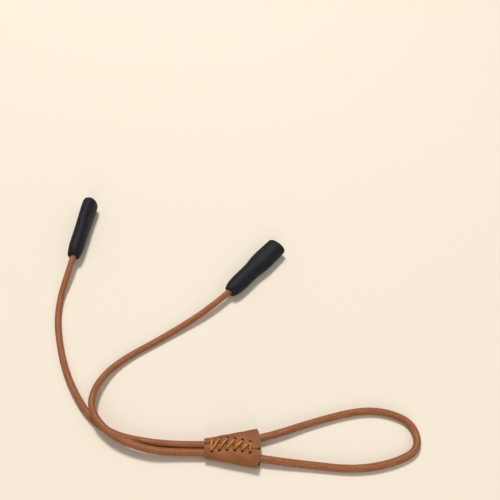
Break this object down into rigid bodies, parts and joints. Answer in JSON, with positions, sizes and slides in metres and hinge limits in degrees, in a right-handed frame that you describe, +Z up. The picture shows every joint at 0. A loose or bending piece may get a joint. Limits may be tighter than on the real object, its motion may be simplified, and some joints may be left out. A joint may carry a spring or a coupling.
{
  "type": "eyeglass retainer strap",
  "caption": "Round leather eyeglass strap with soft temple sleeves and a laced leather slider on its doubled strands, laid flat.",
  "frame": {"origin": "on the surface the strap lies on, under the middle of the box round the two sleeves and the slider", "axes": "+Z up from the surface, +X from the slider's narrow end to its wide end and on into the loop, +Y towards the sleeves"},
  "size_m": [0.1653, 0.1463, 0.0111],
  "materials": {
    "sleeve_rubber": "matt moulded silicone rubber",
    "cord_leather": "tan round leather, lightly polished",
    "slider_leather": "smooth tan leather with paler cut edges",
    "lace": "thin waxed lace, slightly glossy",
    "ferrule": "crimped tube"
  },
  "bodies": {
    "strap": {"leather_cord": "cord_leather", "sleeve_left": "sleeve_rubber", "sleeve_right": "sleeve_rubber", "cord_ferrule_left": "ferrule", "cord_ferrule_right": "ferrule"},
    "slider": {"slider_wrap": "slider_leather", "slider_lacing": "lace"}
  },
  "joints": [
    {"name": "slider_slide", "type": "slide", "parent": "strap", "child": "slider", "axis": [1, 0, 0], "range_m": [-0.01, 0.0025]}
  ]
}
